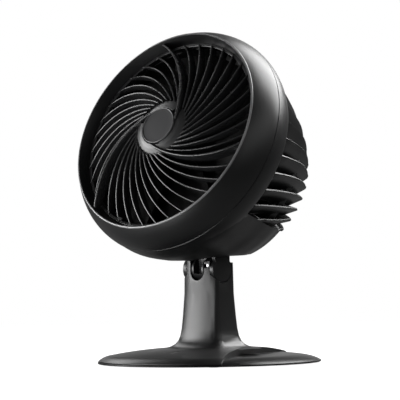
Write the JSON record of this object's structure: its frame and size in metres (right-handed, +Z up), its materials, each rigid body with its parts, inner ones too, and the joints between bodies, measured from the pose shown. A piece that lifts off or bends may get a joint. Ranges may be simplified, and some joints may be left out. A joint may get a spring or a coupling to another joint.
{
  "type": "air circulator fan",
  "caption": "Round table-top air circulator with a swirling ribbed front grille, tilting on a forked neck over a low round base.",
  "frame": {"origin": "middle of the underside, on the plane of the feet", "axes": "+Z up, -Y the way the fan blows, +X to the right of a viewer who looks along +Y"},
  "size_m": [0.257, 0.2431, 0.3582],
  "materials": {
    "rear_housing": "satin",
    "front_ring": "satin",
    "front_grille": "satin",
    "hub_badge": "satin",
    "grille_lock_tab": "satin",
    "housing_screws": "satin",
    "rear_grille": "satin",
    "rear_cover": "satin",
    "speed_switch": "matte",
    "stator_core": "satin",
    "stator_windings": "satin",
    "motor_front_bracket": "satin",
    "motor_rear_bracket": "satin",
    "motor_screws": "satin",
    "stator_screws": "satin",
    "front_bearing": "satin",
    "rear_bearing": "satin",
    "tilt_bracket": "satin",
    "bracket_screws": "satin",
    "ear_cap_right": "satin",
    "ear_cap_left": "satin",
    "propeller": "satin",
    "rotor_shaft": "satin",
    "spinner_nut": "satin",
    "rotor_core": "satin",
    "speed_knob": "satin",
    "switch_shaft": "satin",
    "neck_column": "satin",
    "base_disc": "satin",
    "base_plate": "satin",
    "base_screws": "satin",
    "pivot_bolt": "satin",
    "pivot_nut": "satin",
    "tilt_stop_pin": "satin",
    "friction_washer_right": "matte",
    "friction_washer_left": "matte",
    "rubber_foot_1": "matte",
    "rubber_foot_2": "matte",
    "rubber_foot_3": "matte",
    "rubber_foot_4": "matte"
  },
  "bodies": {
    "stand": {"neck_column": "neck_column", "base_disc": "base_disc", "base_plate": "base_plate", "base_screws": "base_screws", "pivot_bolt": "pivot_bolt", "pivot_nut": "pivot_nut", "tilt_stop_pin": "tilt_stop_pin", "friction_washer_right": "friction_washer_right", "friction_washer_left": "friction_washer_left", "rubber_foot_1": "rubber_foot_1", "rubber_foot_2": "rubber_foot_2", "rubber_foot_3": "rubber_foot_3", "rubber_foot_4": "rubber_foot_4"},
    "head": {"rear_housing": "rear_housing", "front_ring": "front_ring", "front_grille": "front_grille", "hub_badge": "hub_badge", "grille_lock_tab": "grille_lock_tab", "housing_screws": "housing_screws", "rear_grille": "rear_grille", "rear_cover": "rear_cover", "speed_switch": "speed_switch", "stator_core": "stator_core", "stator_windings": "stator_windings", "motor_front_bracket": "motor_front_bracket", "motor_rear_bracket": "motor_rear_bracket", "motor_screws": "motor_screws", "stator_screws": "stator_screws", "front_bearing": "front_bearing", "rear_bearing": "rear_bearing", "tilt_bracket": "tilt_bracket", "bracket_screws": "bracket_screws", "ear_cap_right": "ear_cap_right", "ear_cap_left": "ear_cap_left"},
    "rotor": {"propeller": "propeller", "rotor_shaft": "rotor_shaft", "spinner_nut": "spinner_nut", "rotor_core": "rotor_core"},
    "knob": {"speed_knob": "speed_knob", "switch_shaft": "switch_shaft"}
  },
  "joints": [
    {"name": "head_tilt", "type": "hinge", "parent": "stand", "child": "head", "pos_m": [0, -0.003, 0.102], "axis": [-1, 0, 0], "range_deg": [-28, 27]},
    {"name": "fan_spin", "type": "hinge", "parent": "head", "child": "rotor", "pos_m": [0, -0.02369, 0.23136], "axis": [0, -0.8829, 0.4695], "continuous": true},
    {"name": "knob_turn", "type": "hinge", "parent": "head", "child": "knob", "pos_m": [0, 0.07785, 0.17737], "axis": [0, 0.8829, -0.4695], "range_deg": [0, 135]}
  ]
}
